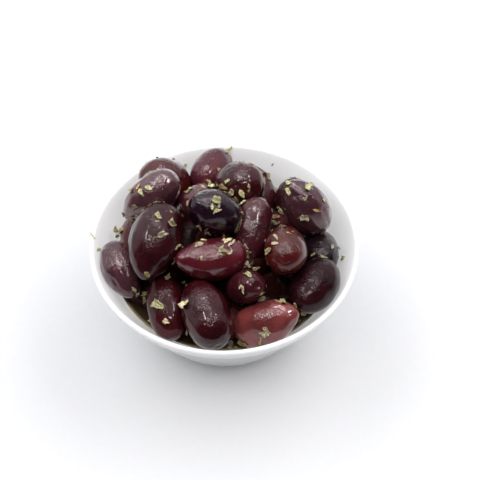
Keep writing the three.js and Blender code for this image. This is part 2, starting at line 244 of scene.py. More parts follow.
# Packed under all of those, ring by ring, each lying round its ring, swung and tipped a little (degrees).
PACKED_RINGS = [
    dict(radius=0, count=1, height=37), dict(radius=14, count=6, height=35.5), dict(radius=26, count=11, height=29.5),
]
PACKED_OLIVE = dict(long=22, wide=14)
PACKED_SWING = 35
PACKED_RISE = 12
PACKED_SKINS = ("200e10", "1a0c0e", "28110f")


# ---- Herb flakes, by what they lie on ----
# Each is its place across and down in the square frame, in pixels, its length and width as seen, in millimetres, its
# tilt in degrees and its kind of leaf bit.
FLAKES = {
    "ring_left": [
        (131.5, 190.5, 1.8, 1.1, 60, "green"), (138.5, 187, 2, 0.8, 60, "orange"),
        (141.5, 192.5, 2.9, 1.5, -60, "pale"), (148.5, 187.5, 2.3, 1.5, -40, "pale"),
        (134.5, 207, 2.6, 1.6, 15, "dull"), (131.5, 218.5, 2, 1.1, 20, "straw"),
        (137, 216.5, 1.9, 1.4, -10, "straw"), (123.5, 214.5, 1.5, 0.9, 80, "olive"),
    ],
    "wall_left_low": [
        (115.5, 230, 1.9, 1.5, -45, "green"), (121.5, 231, 2.2, 1.5, 45, "green"),
        (117.3, 236, 1.5, 0.9, 20, "olive"),
    ],
    "back_left": [
        (173.5, 159, 1.1, 0.6, 0, "brown"), (185.5, 165, 1.5, 1.1, 30, "pale"),
    ],
    "under_black": [
        (190.5, 189, 1.5, 1.1, 20, "green"), (187.5, 192, 1.5, 1, 40, "green"),
        (188, 203, 2.3, 0.7, 75, "green"), (183, 215, 1.3, 0.6, -45, "dull"), (203.5, 186, 2, 1.7, 40, "green"),
        (208, 182, 1.9, 1.3, -20, "olive"), (211, 187, 2.3, 1.5, -10, "pale"), (199, 190, 1.5, 0.8, 40, "dull"),
    ],
    "big_left": [
        (158.5, 217, 2.3, 1.5, -50, "green"), (157, 221.5, 1.5, 0.6, 0, "straw"),
        (172, 224, 3.3, 2, -25, "dull"), (161.5, 235, 3.3, 1.8, 35, "dull"), (165.5, 234, 1.6, 1.4, 10, "grey"),
        (150, 237, 1.5, 1, -60, "brown"), (171, 212, 0.8, 0.7, 0, "straw"),
        (147.5, 274.5, 2.3, 1.2, -50, "olive"),
    ],
    "black_crown": [
        (216.5, 201, 3, 2, -20, "green"), (212, 206.5, 2.3, 0.9, 80, "pale"),
        (216.5, 210.8, 3, 1.5, 10, "green"), (218.8, 206, 1.5, 1, 60, "grey"),
        (215.5, 206.8, 1.1, 1, 0, "brown"), (199.5, 227, 2.3, 1.1, -50, "straw"),
        (206, 230, 1.5, 0.7, 45, "straw"), (208, 233.5, 1.7, 1.1, -40, "grey"),
        (237, 226.5, 3.3, 1.8, 75, "dull"), (236.5, 230, 1.5, 1.2, 30, "olive"),
        (240.5, 222.5, 2.2, 0.6, 80, "straw"),
    ],
    "back_tall": [
        (228.5, 150.5, 3, 1.7, 40, "pale"), (231, 148, 1.6, 0.7, 65, "pale"),
        (226.8, 153, 0.8, 0.6, 0, "brown"),
    ],
    "crown_back": [
        (240.5, 164, 1.5, 0.7, -10, "brown"), (227.5, 181.5, 2.3, 0.9, 40, "pale"),
        (222.5, 186.5, 2.2, 1.5, -30, "olive"), (225.8, 188.3, 1.5, 1, -30, "olive"),
        (232, 192, 2.4, 1.4, 70, "green"), (242, 194, 3.3, 1.6, -65, "pale"),
        (248.5, 186, 1.9, 0.9, 85, "green"), (248.5, 190.5, 1.1, 0.9, 45, "straw"),
        (237, 200, 2.2, 1.1, -60, "olive"), (243.5, 203.5, 2.2, 0.9, 40, "pale"),
        (242, 213.5, 1.5, 0.9, -40, "orange"),
    ],
    "back_middle": [
        (266.5, 175, 2.2, 1.5, -60, "dull"), (269, 179.5, 1.9, 0.9, -45, "olive"),
    ],
    "wrinkled_right": [
        (288.5, 183, 2, 1.7, 10, "pale"), (288.5, 191.5, 2.9, 1.6, -70, "pale"),
        (308, 186.8, 3, 2.2, 35, "pale"), (312.3, 183.7, 1.5, 0.9, 20, "pale"),
        (305, 198.5, 1.9, 1.1, 40, "green"), (317.5, 210.5, 2.6, 1, -10, "orange"),
        (304, 217, 3, 1.6, 0, "grey"), (306, 218.6, 1.9, 0.9, -20, "cream"),
        (300.2, 218.5, 1.2, 1.1, 30, "olive"),
    ],
    "back_right": [
        (278.5, 207.5, 1.1, 0.7, 10, "olive"), (281.5, 212, 2.6, 1.3, -50, "cream"),
        (272.5, 215.5, 1.1, 0.7, 45, "olive"), (276, 223.5, 2.6, 1.8, 20, "dull"),
        (276, 218, 2.4, 1.5, 0, "brown"),
    ],
    "brown_scar": [
        (276.5, 237.2, 2.2, 0.9, -60, "cream"), (274.5, 235.5, 1.1, 0.7, -20, "cream"),
        (275, 243.7, 2.2, 0.9, 3, "cream"), (269, 251.5, 2.2, 1.5, 35, "straw"),
        (288.5, 233, 1.5, 0.6, -10, "orange"), (292.5, 232, 0.9, 0.5, 20, "orange"),
    ],
    "wall_right": [
        (332, 246.5, 1.9, 1.2, 50, "grey"), (338.3, 248, 0.9, 1.1, 60, "brown"),
        (323, 233, 1.5, 1.1, 10, "dull"),
    ],
    "big_right": [
        (313, 254.5, 1.9, 0.7, 30, "olive"), (324, 256.6, 2.6, 0.9, -18, "pale"),
    ],
    "bright_red": [
        (177, 246.5, 2.6, 0.9, 45, "green"), (182, 247, 0.9, 0.7, 0, "green"),
        (199, 244.5, 3.3, 1.4, 20, "straw"), (203, 240.5, 1.9, 0.6, 0, "pale"),
        (201.5, 258.5, 1.9, 0.9, -75, "green"), (174, 259, 1.1, 0.6, 80, "dull"),
        (222, 251, 3, 1.7, -10, "green"), (219.5, 254, 1.5, 1, 40, "green"), (229, 253, 1.7, 1.5, 20, "green"),
        (223, 246, 1.1, 0.6, 60, "green"), (226, 241.3, 2.2, 1.5, 20, "cream"),
        (231.5, 243.5, 3, 1.1, 55, "cream"), (224, 236.5, 3, 1.3, 80, "pale"), (229, 240, 1.9, 1, 35, "pale"),
    ],
    "tall_middle": [
        (246.5, 246.5, 2.2, 0.6, -55, "grey"), (247, 253.5, 3, 1.4, -75, "green"),
        (250.3, 252, 0.8, 0.7, 0, "green"),
    ],
    "little_pit": [
        (247, 263.5, 1.5, 1, 60, "straw"), (249.5, 267, 1.1, 0.7, -30, "olive"),
        (256.5, 268.5, 2.6, 1, 15, "straw"), (247.5, 274.5, 2.2, 1.2, -30, "green"),
        (242, 286, 1.5, 0.6, -30, "cream"), (243.5, 290, 2.6, 0.7, -85, "cream"),
        (240.5, 287, 1.5, 0.5, 60, "cream"), (261.5, 293, 1.9, 0.8, 20, "olive"),
        (262, 298.5, 2.2, 1.5, 30, "dull"), (260.5, 301, 1.9, 0.8, 0, "grey"),
    ],
    "front_left": [
        (168, 277, 2.6, 1.5, 65, "dull"), (157.5, 304.5, 4, 2.6, -25, "green"),
        (158.5, 304, 2, 1.4, -25, "pale"), (166.5, 321.5, 2.2, 1.6, -20, "cream"),
        (144.5, 294, 2.4, 1.5, 20, "olive"), (144, 302, 3.6, 1, 88, "green"),
    ],
    "wall_left": [
        (98.5, 250, 1.9, 1.1, 10, "pale"), (134.5, 290, 2.2, 0.9, -50, "green"),
        (137, 295, 2.2, 1.4, -70, "grey"),
    ],
    "front_middle": [
        (183.5, 282.5, 1.5, 0.9, 50, "olive"), (185.3, 304, 3.4, 2, 50, "cream"),
        (186.5, 332, 2.4, 0.6, 88, "cream"),
    ],
    "front_right": [
        (276.5, 301, 1.9, 0.8, -25, "straw"), (283, 302.6, 2.2, 1.5, 0, "olive"),
        (283, 299, 1.5, 0.6, 10, "olive"), (296.5, 305.5, 1.9, 0.6, -75, "green"),
        (264, 333.5, 2.7, 2.3, 40, "cream"), (266.5, 329.8, 3.3, 1.2, -40, "cream"),
        (260, 341.5, 3, 0.9, 80, "green"), (259.5, 344.8, 1.5, 0.7, 0, "green"),
    ],
    "in_the_oil": [
        (150, 321.5, 1.9, 0.9, -30, "pale"), (243, 343.5, 3.5, 1.4, -28, "olive"),
        (229, 348.3, 1.5, 0.7, 0, "dull"), (236, 347.8, 1.5, 0.7, 0, "dull"),
        (303.5, 314.5, 2, 1.5, -10, "olive"), (299, 321.5, 1.5, 1.1, 20, "dull"),
    ],
    "on_the_wall": [
        (92.5, 236, 2.6, 0.7, -55, "cream"), (272.5, 164.5, 1.1, 0.5, 50, "dull"),
        (324, 200.5, 1.5, 0.7, -60, "pale"), (328, 207, 0.7, 0.6, 0, "straw"), (343, 258, 1.5, 1.3, 0, "green"),
    ],
}
LEAF_COLOURS = {
    "pale": "aeb086", "green": "878260", "dull": "54493b", "olive": "726741", "straw": "84745e",
    "cream": "aba189", "orange": "9c774c", "brown": "543629", "grey": "85807a",
}
# A torn leaf bit, with shares of its length and width, and in millimetres its thickness and how high it lies.
LEAF_GRID = (5, 4)
TEARS_PER_LEAF = 2.5
TEAR_ALONG, TEAR_ACROSS = 0.26, 0.34
CORNER_CUT = 0.35
CRUMPLE = 0.25
# How much paler the edges are: partly the torn leaf's own colour, partly a painted highlight along them.
PALE_EDGE_AND_HIGHLIGHT = 0.5
LEAF_THICKNESS = 0.12
LEAF_LIFT = 0.15
# Tearing and curling make a bit look smaller, so each placed one starts larger by this.
FLAKE_GROWTH = 1.12
# More of them are dropped where the viewer can't see, toward a box in the heap's upper part, in millimetres, from a
# distance in metres.
HIDDEN_FLAKES = 110
HIDDEN_SHORTEST, HIDDEN_LONGEST = 1, 3.2
HIDDEN_NARROWEST, HIDDEN_WIDEST = 0.35, 0.7
HIDDEN_AIM = ((-30, 30), (-25, 35), (30, 52))
HIDDEN_KINDS = ("pale", "green", "green", "dull", "olive", "straw", "cream", "grey")
DROP_DISTANCE = 0.3
LEAST_UPWARD = 0.1
SAME_SPOT = 0.001
FLAKE_SEED = 11

# The torn edges of the herb come from a noise whose own seed would otherwise be the time of day.
NOISE_SEED = 7
noise.seed_set(NOISE_SEED)

# ---- Settings that several nodes share ----
CLAMPED = {"clamp": True}
EASED = {"clamp": True, "interpolation_type": "SMOOTHSTEP"}
COLOURS = {"data_type": "RGBA"}
TIMES = {"operation": "MULTIPLY"}


# ---- Small helpers ----
def set_inputs(material, node, **sockets):
    """Sets inputs by name, or by number where names repeat: _6 and _7 are the two colours of a Mix.

    Each is a value, or another node's output to link."""
    for name, value in sockets.items():
        socket = node.inputs[int(name[1:])] if name[1:].isdigit() else node.inputs[name.replace("_", " ")]
        if isinstance(value, bpy.types.NodeSocket):
            material.node_tree.links.new(value, socket)
        else:
            socket.default_value = value


def add_node(material, kind, settings=None, **sockets):
    """One node, its settings and its inputs."""
    made = material.node_tree.nodes.new(kind)
    for name, value in (settings or {}).items():
        setattr(made, name, value)
    set_inputs(material, made, **sockets)
    return made


def new_material(name):
    material = bpy.data.materials.new(name)
    material.use_nodes = True
    return material, material.node_tree.nodes["Principled BSDF"]


def finish_piece(name, mesh_maker, material, node_name):
    """A finished piece at the origin that stands for one CAD node."""
    mesh = bpy.data.meshes.new(name)
    mesh_maker.to_mesh(mesh)
    mesh_maker.free()
    mesh.materials.append(material)
    for face in mesh.polygons:
        face.use_smooth = True
    piece = bpy.data.objects.new(name, mesh)
    bpy.context.scene.collection.objects.link(piece)
    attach(piece, "root")
    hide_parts(node_name)
    return piece


def inner_radius(height):
    """Inner wall of the bowl at a height, in millimetres."""
    slope = (RIM_RADIUS - LIP_BAND_TAPER - WALL_BASE_RADIUS) / (BOWL_HEIGHT - LIP_BAND - WALL_BASE_HEIGHT)
    top = BOWL_HEIGHT - LIP_THICKNESS / 2
    foot = WALL_BASE_RADIUS + (FLOOR_CORNER_HEIGHT - WALL_BASE_HEIGHT) * slope - WALL_THICKNESS
    share = max(0, top - height) / (top - FLOOR_CORNER_HEIGHT)
    return RIM_RADIUS - LIP_THICKNESS - (RIM_RADIUS - LIP_THICKNESS - foot) * share


def spin_profile(profile, steps):
    """A closed shell of revolution about +Z from [radius, height] pairs in millimetres."""
    shell = bmesh.new()
    points = [shell.verts.new(at(radius, 0, height)) for radius, height in profile]
    edges = [shell.edges.new(pair) for pair in zip(points, points[1:])]
    bmesh.ops.spin(
        shell, geom=points + edges, cent=(0, 0, 0), axis=(0, 0, 1),
        angle=2 * math.pi, steps=steps, use_merge=True,
    )
    bmesh.ops.remove_doubles(shell, verts=shell.verts, dist=1e-6)
    bmesh.ops.recalc_face_normals(shell, faces=shell.faces)
    return shell


# ---- Materials ----
# The scale of a pattern is its marks to a millimetre: as it is on the grain of the olives, which runs in millimetres,
# and over MM on Object coordinates, which run in metres.
def glazed_porcelain():
    """Porcelain, slip-cast and glazed: cold white, mirror-glossy, with a faint wave in the glaze; bare at the foot."""
    material, shader = new_material("glazed_porcelain")
    place = add_node(material, "ShaderNodeTexCoord").outputs["Object"]
    height = add_node(material, "ShaderNodeSeparateXYZ", Vector=place).outputs["Z"]
    # The ring foot is wiped clean of glaze for the lowest 0.35 mm.
    bare = add_node(
        material, "ShaderNodeMapRange", CLAMPED,
        Value=height, From_Min=0.1 * MM, From_Max=0.35 * MM, To_Min=1.0, To_Max=0.0,
    ).outputs["Result"]
    # Clouds 17 mm across in the white.
    cloud = add_node(material, "ShaderNodeTexNoise", Vector=place, Scale=0.06 / MM, Detail=3.0).outputs["Fac"]
    white = add_node(
        material, "ShaderNodeMix", COLOURS, Factor=cloud, _6=linear("e5e6e7"), _7=linear("e9eaeb"),
    ).outputs[2]
    colour = add_node(
        material, "ShaderNodeMix", COLOURS, Factor=bare, _6=white, _7=linear("dcd6c9"),
    ).outputs[2]
    # Faint iron specks in the body, up to half a millimetre across and about 9 mm apart.
    speck = add_node(
        material, "ShaderNodeTexVoronoi", {"feature": "F1"}, Vector=place, Scale=0.11 / MM,
    ).outputs["Distance"]
    near = add_node(
        material, "ShaderNodeMapRange", CLAMPED,
        Value=speck, From_Min=0.012, From_Max=0.03, To_Min=0.35, To_Max=0.0,
    ).outputs["Result"]
    colour = add_node(
        material, "ShaderNodeMix", COLOURS, Factor=near, _6=colour, _7=linear("b9b2a6"),
    ).outputs[2]
    rough = add_node(
        material, "ShaderNodeMapRange", CLAMPED, Value=bare, To_Min=0.1, To_Max=0.7,
    ).outputs["Result"]
    # The glaze rolls in waves 11 mm long, and the bare foot has a grit of 0.4 mm.
    wave = add_node(material, "ShaderNodeTexNoise", Vector=place, Scale=0.09 / MM, Detail=2.0).outputs["Fac"]
    grit = add_node(material, "ShaderNodeTexNoise", Vector=place, Scale=2.5 / MM, Detail=2.0).outputs["Fac"]
    ground = add_node(material, "ShaderNodeMath", TIMES, _0=grit, _1=bare).outputs[0]
    swell = add_node(material, "ShaderNodeBump", Height=wave, Strength=0.25, Distance=0.3 * MM).outputs["Normal"]
    normal = add_node(
        material, "ShaderNodeBump", Height=ground, Strength=0.6, Distance=0.2 * MM, Normal=swell,
    ).outputs["Normal"]
    set_inputs(
        material, shader, Base_Color=colour, Roughness=rough, Normal=normal, IOR=1.5, Specular_IOR_Level=0.25,
    )
    return material


def oiled_olive_skin():
    """Cured olive, brined and oiled: taut dark skin with paler freckles and creases under a thin film of oil."""
    material, shader = new_material("oiled_olive_skin")
    grain = add_node(material, "ShaderNodeAttribute", {"attribute_name": "grain"}).outputs["Vector"]
    stored = add_node(material, "ShaderNodeAttribute", {"attribute_name": "tint"})
    tint, film_depth = stored.outputs["Color"], stored.outputs["Alpha"]
    wear = add_node(material, "ShaderNodeAttribute", {"attribute_name": "wear"}).outputs["Vector"]
    parts = add_node(material, "ShaderNodeSeparateXYZ", Vector=wear)
    upper, wrinkle, shine = (parts.outputs[axis] for axis in "XYZ")
    # Blotches 9 mm across shift the skin between its dark and its ripe red.
    blotch = add_node(
        material, "ShaderNodeTexNoise", Vector=grain, Scale=0.11, Detail=4.0, Roughness=0.6,
    ).outputs["Fac"]
    blotch = add_node(
        material, "ShaderNodeMapRange", EASED, Value=blotch, From_Min=0.3, From_Max=0.7,
    ).outputs["Result"]
    dark = add_node(
        material, "ShaderNodeMix", {**COLOURS, "blend_type": "MULTIPLY"}, Factor=1.0, _6=tint, _7=linear("d0c6cc"),
    ).outputs[2]
    ripe = add_node(
        material, "ShaderNodeMix", {**COLOURS, "blend_type": "ADD"}, Factor=1.0, _6=tint, _7=linear("1c0604"),
    ).outputs[2]
    skin = add_node(material, "ShaderNodeMix", COLOURS, Factor=blotch, _6=dark, _7=ripe).outputs[2]
    # Freckles 0.3 mm across and 1.6 mm apart, drawn a little coarser than real ones so that they show.
    freckle = add_node(
        material, "ShaderNodeTexVoronoi", {"feature": "F1"}, Vector=grain, Scale=0.62,
    ).outputs["Distance"]
    freckle = add_node(
        material, "ShaderNodeMapRange", CLAMPED,
        Value=freckle, From_Min=0.05, From_Max=0.14, To_Min=0.2, To_Max=0.0,
    ).outputs["Result"]
    skin = add_node(
        material, "ShaderNodeMix", COLOURS, Factor=freckle, _6=skin, _7=linear("7c5a54"),
    ).outputs[2]
    # Creases 2.5 mm apart run along the olive, on the grain drawn out fourfold along its length.
    long_grain = add_node(
        material, "ShaderNodeMapping", Vector=grain, Scale=(0.5, 0.5, 0.12),
    ).outputs["Vector"]
    crease = add_node(
        material, "ShaderNodeTexNoise", {"noise_type": "RIDGED_MULTIFRACTAL"},
        Vector=long_grain, Scale=0.8, Detail=1.0, Roughness=0.5,
    ).outputs["Fac"]
    # Crinkles 1.2 mm apart break up the wet shine in patches 6 mm across, mostly on the upper side, where the skin
    # has dried.
    crinkle = add_node(
        material, "ShaderNodeTexNoise", Vector=grain, Scale=0.85, Detail=2.0, Roughness=0.5, Distortion=1.0,
    ).outputs["Fac"]
    patch = add_node(material, "ShaderNodeTexNoise", Vector=grain, Scale=0.16, Detail=1.0).outputs["Fac"]
    patch = add_node(
        material, "ShaderNodeMapRange", EASED,
        Value=patch, From_Min=0.42, From_Max=0.52, To_Min=0.03, To_Max=0.34,
    ).outputs["Result"]
    dried = add_node(
        material, "ShaderNodeMapRange", EASED,
        Value=upper, From_Min=0.6, From_Max=0.9, To_Min=0.1, To_Max=1.0,
    ).outputs["Result"]
    patch = add_node(material, "ShaderNodeMath", TIMES, _0=patch, _1=dried).outputs[0]
    crinkle = add_node(material, "ShaderNodeMath", TIMES, _0=crinkle, _1=patch).outputs[0]
    crease = add_node(material, "ShaderNodeMath", TIMES, _0=crease, _1=wrinkle).outputs[0]
    relief = add_node(
        material, "ShaderNodeMath", {"operation": "MULTIPLY_ADD"}, _0=crease, _1=0.5, _2=crinkle,
    ).outputs[0]
    folded = add_node(material, "ShaderNodeBump", Height=relief, Strength=1.0, Distance=MM).outputs["Normal"]
    # The film of oil gathers and thins every 3 mm, smooth where it is deep.
    film = add_node(material, "ShaderNodeTexNoise", Vector=grain, Scale=0.3, Detail=2.0).outputs["Fac"]
    film_rough = add_node(
        material, "ShaderNodeMapRange", CLAMPED,
        Value=film, From_Min=0.38, From_Max=0.62, To_Min=0.3, To_Max=1.2,
    ).outputs["Result"]
    film_rough = add_node(material, "ShaderNodeMath", TIMES, _0=film_rough, _1=film_depth).outputs[0]
    # Some olives are wetter than others. Under the oil the skin itself shines too, softer and a little rosy.
    skin_shine = add_node(material, "ShaderNodeMath", TIMES, _0=shine, _1=0.5).outputs[0]
    film_shine = add_node(
        material, "ShaderNodeMath", {**TIMES, "use_clamp": True}, _0=shine, _1=1.3,
    ).outputs[0]
    set_inputs(
        material, shader, Base_Color=skin, Normal=folded, Roughness=0.24, IOR=1.47,
        Specular_IOR_Level=skin_shine, Specular_Tint=linear("ffe0e4"),
        Coat_Weight=film_shine, Coat_Roughness=film_rough, Coat_Normal=folded, Coat_IOR=1.47,
    )
    return material


def olive_oil():
    """Olive oil, poured over the olives: a still, wet golden brown with their shade painted in, paler where it is
    shallow.
    """
    material, shader = new_material("olive_oil")
    place = add_node(material, "ShaderNodeTexCoord").outputs["Object"]
    split = add_node(material, "ShaderNodeSeparateXYZ", Vector=place)
    flat = add_node(
        material, "ShaderNodeCombineXYZ", X=split.outputs["X"], Y=split.outputs["Y"], Z=0.0,
    ).outputs["Vector"]
    out = add_node(material, "ShaderNodeVectorMath", {"operation": "LENGTH"}, _0=flat).outputs["Value"]
    # It grows shallow over the last 5 mm before the wall, and the last 2 mm let the porcelain through.
    shallow = add_node(
        material, "ShaderNodeMapRange", EASED, Value=out, From_Min=36.5 * MM, From_Max=40 * MM,
    ).outputs["Result"]
    edge = add_node(
        material, "ShaderNodeMapRange", EASED, Value=out, From_Min=39.8 * MM, From_Max=41.6 * MM,
    ).outputs["Result"]
    # Cloudy patches 7 mm across, and a ripple of 8 mm.
    patch = add_node(material, "ShaderNodeTexNoise", Vector=place, Scale=0.14 / MM, Detail=3.0).outputs["Fac"]
    # Both oil colours are painted dark with the shade of the olives over the oil, darkest away from the wall.
    deep = add_node(
        material, "ShaderNodeMix", COLOURS, Factor=patch, _6=linear("1b120e"), _7=linear("2b1e12"),
    ).outputs[2]
    colour = add_node(
        material, "ShaderNodeMix", COLOURS, Factor=shallow, _6=deep, _7=linear("3b2d1d"),
    ).outputs[2]
    colour = add_node(
        material, "ShaderNodeMix", COLOURS, Factor=edge, _6=colour, _7=linear("a89d80"),
    ).outputs[2]
    ripple = add_node(material, "ShaderNodeTexNoise", Vector=place, Scale=0.12 / MM, Detail=1.0).outputs["Fac"]
    normal = add_node(material, "ShaderNodeBump", Height=ripple, Strength=0.3, Distance=0.4 * MM).outputs["Normal"]
    set_inputs(material, shader, Base_Color=colour, Normal=normal, Roughness=0.05, IOR=1.47)
    return material


def dried_herb():
    """Dried oregano, rubbed: dull crumpled leaf bits from pale green to straw, a little shiny with oil."""
    material, shader = new_material("dried_herb")
    stored = add_node(material, "ShaderNodeAttribute", {"attribute_name": "leaf"})
    leaf, torn = stored.outputs["Color"], stored.outputs["Alpha"]
    place = add_node(material, "ShaderNodeTexCoord").outputs["Object"]
    # Veins and blotches a little over half a millimetre apart.
    vein = add_node(
        material, "ShaderNodeTexNoise", Vector=place, Scale=1.8 / MM, Detail=3.0, Roughness=0.6,
    ).outputs["Fac"]
    vein = add_node(
        material, "ShaderNodeMapRange", CLAMPED, Value=vein, From_Min=0.35, From_Max=0.65,
    ).outputs["Result"]
    shade = add_node(
        material, "ShaderNodeMix", {**COLOURS, "blend_type": "MULTIPLY"}, Factor=1.0, _6=leaf, _7=linear("95906a"),
    ).outputs[2]
    colour = add_node(material, "ShaderNodeMix", COLOURS, Factor=vein, _6=shade, _7=leaf).outputs[2]
    # The torn edges are paler, partly their own colour and partly a painted highlight where light catches them.
    colour = add_node(
        material, "ShaderNodeMix", {**COLOURS, "blend_type": "SCREEN"}, Factor=torn, _6=colour, _7=linear("8a8654"),
    ).outputs[2]
    normal = add_node(material, "ShaderNodeBump", Height=vein, Strength=0.5, Distance=0.2 * MM).outputs["Normal"]
    set_inputs(material, shader, Base_Color=colour, Normal=normal, Roughness=0.45, IOR=1.45)
    return material


def matt_card():
    """Seamless paper sweep: even white, with the faintest fibre, 2.5 mm long."""
    material, shader = new_material("matt_card")
    place = add_node(material, "ShaderNodeTexCoord").outputs["Object"]
    fibre = add_node(material, "ShaderNodeTexNoise", Vector=place, Scale=0.4 / MM, Detail=2.0).outputs["Fac"]
    colour = add_node(
        material, "ShaderNodeMix", COLOURS, Factor=fibre, _6=linear("cbccce"), _7=linear("cfd0d2"),
    ).outputs[2]
    set_inputs(material, shader, Base_Color=colour, Roughness=0.9)
    return material


# ---- Camera ----
RIGHT = Vector((1, 0, 0))
AHEAD = Vector((0, math.cos(CAMERA_ELEVATION), -math.sin(CAMERA_ELEVATION)))
UPWARD = Vector((0, math.sin(CAMERA_ELEVATION), math.cos(CAMERA_ELEVATION)))
SIGHT = RIGHT * (RIM_ACROSS_PIXELS / FOCAL_PIXELS) - UPWARD * (RIM_DOWN_PIXELS / FOCAL_PIXELS) + AHEAD
LENS_AT = at(0, 0, BOWL_HEIGHT) - SIGHT * (CAMERA_TO_RIM / SIGHT.length)

camera_data = bpy.data.cameras.new("camera")
camera_data.sensor_width = SENSOR_WIDTH
camera_data.lens = FOCAL_PIXELS / IMAGE_SIDE * SENSOR_WIDTH
camera_data.clip_start = 0.01
camera = bpy.data.objects.new("camera", camera_data)
camera.location = LENS_AT
camera.rotation_euler = (math.pi / 2 - CAMERA_ELEVATION, 0, 0)
bpy.context.scene.collection.objects.link(camera)
bpy.context.scene.camera = camera


def sight_line(across, down):
    """Direction from the lens through a point of the frame, in pixels."""
    half = IMAGE_SIDE / 2
    sideways = RIGHT * ((across - half) / FOCAL_PIXELS)
    return (sideways - UPWARD * ((down - half) / FOCAL_PIXELS) + AHEAD).normalized()


# ---- Bowl ----
def rounded(start, corner, end, steps):
    """Points of an even curve that leaves the start and reaches the end toward the corner, without the start."""
    return [
        tuple(
            (1 - share) ** 2 * a + 2 * share * (1 - share) * b + share ** 2 * c
            for a, b, c in zip(start, corner, end)
        )
        for share in (i / steps for i in range(1, steps + 1))
    ]


def quarter_turn(steps):
    """Angles from level to straight up."""
    return [math.pi / 2 * i / steps for i in range(steps + 1)]


def bowl_profile():
    """Outline of the bowl from the middle of its underside, up its outer wall, over the lip and down inside."""
    lip = LIP_THICKNESS / 2
    outer_lip = [
        (RIM_RADIUS - lip + lip * math.cos(angle), BOWL_HEIGHT - lip + lip * math.sin(angle))
        for angle in quarter_turn(LIP_STEPS)
    ]
    # From its crest the lip runs into the wall in one long soft curve, and the wall into the floor in another.
    wall_run = (inner_radius(20) - inner_radius(19)) * lip
    inner_lip = rounded(
        outer_lip[-1], (RIM_RADIUS - LIP_THICKNESS + wall_run, BOWL_HEIGHT),
        (inner_radius(LIP_CURVE_END), LIP_CURVE_END), 2 * LIP_STEPS,
    )
    inside = [(inner_radius(height), height) for height in (30, 26, 22, 18, 14, 12)]
    corner = rounded(inside[-1], (inner_radius(7) - 1, 6.3), (FLOOR_RADIUS - 2, FLOOR_HEIGHT), 8)
    outer_wall = [
        (
            WALL_BASE_RADIUS + (RIM_RADIUS - LIP_BAND_TAPER - WALL_BASE_RADIUS) * share,
            WALL_BASE_HEIGHT + (BOWL_HEIGHT - LIP_BAND - WALL_BASE_HEIGHT) * share,
        )
        for share in (0.04, 0.25, 0.5, 0.75, 0.97)
    ]
    ring_inside = FOOT_RADIUS - FOOT_RING_WIDTH
    return [
        (0, FOOT_RECESS),
        # The ring foot, eased at its edges, and the step up to the wall.
        (ring_inside - 1.2, FOOT_RECESS),
        (ring_inside - 0.5, FOOT_RECESS - 0.3),
        (ring_inside + 0.1, 0.15),
        (ring_inside + 0.5, 0),
        (FOOT_RADIUS - 0.5, 0),
        (FOOT_RADIUS - 0.1, 0.15),
        (FOOT_RADIUS, 0.6),
        (FOOT_RADIUS, WALL_BASE_HEIGHT - 0.9),
        (FOOT_RADIUS + 0.3, WALL_BASE_HEIGHT - 0.4),
        (FOOT_RADIUS + 1.1, WALL_BASE_HEIGHT - 0.1),
        (WALL_BASE_RADIUS, WALL_BASE_HEIGHT),
        *outer_wall,
        # The band under the lip stands out a third of a millimetre.
        (RIM_RADIUS - LIP_BAND_TAPER, BOWL_HEIGHT - LIP_BAND),
        (RIM_RADIUS - LIP_BAND_TAPER + 0.35, BOWL_HEIGHT - LIP_BAND + 0.8),
        *outer_lip,
        *inner_lip,
        *inside,
        *corner,
        (0, FLOOR_HEIGHT),
    ]


bowl_shell = spin_profile(bowl_profile(), BOWL_TURN_STEPS)
bowl_tree = BVHTree.FromBMesh(bowl_shell)
bowl = finish_piece("porcelain_bowl", bowl_shell, glazed_porcelain(), "bowl")


# ---- Olives ----
def fullness(place, tip, blunt):
    """Share of the greatest radius, from the stalk end (-1) to the pointed end (1)."""
    if place < 0:
        return max(0, 1 - abs(place) ** blunt) ** STALK_ROUNDING
    return math.sqrt(max(0, 1 - place * place)) * (1 - tip * TIP_NARROWING * place ** 2)


def stand(olive):
    """Turn that lays the olive's own +Z along its bearing and rise, with its +Y as near straight up as it can be."""
    turn, rise = math.radians(olive["bearing"]), math.radians(olive["rise"])
    axis = Vector((math.cos(rise) * math.cos(turn), math.cos(rise) * math.sin(turn), math.sin(rise)))
    return axis.to_track_quat("Z", "Y").to_matrix()


def add_layers(maker, layers):
    """Named vertex layers on a bmesh: float_vector or float_color."""
    for name, kind in layers.items():
        getattr(maker.verts.layers, kind).new(name)
    return maker


def pour_into(whole, part):
    """Adds a small bmesh to a larger one and frees it."""
    carrier = bpy.data.meshes.new("carrier")
    part.to_mesh(carrier)
    part.free()
    whole.from_mesh(carrier)
    bpy.data.meshes.remove(carrier)


# What the skin's material reads: the grain in millimetres, the skin colour with the roughness of its oil as the alpha,
# and how far the skin faces up, how wrinkled it is and how wet.
SKIN_LAYERS = dict(grain="float_vector", tint="float_color", wear="float_vector")


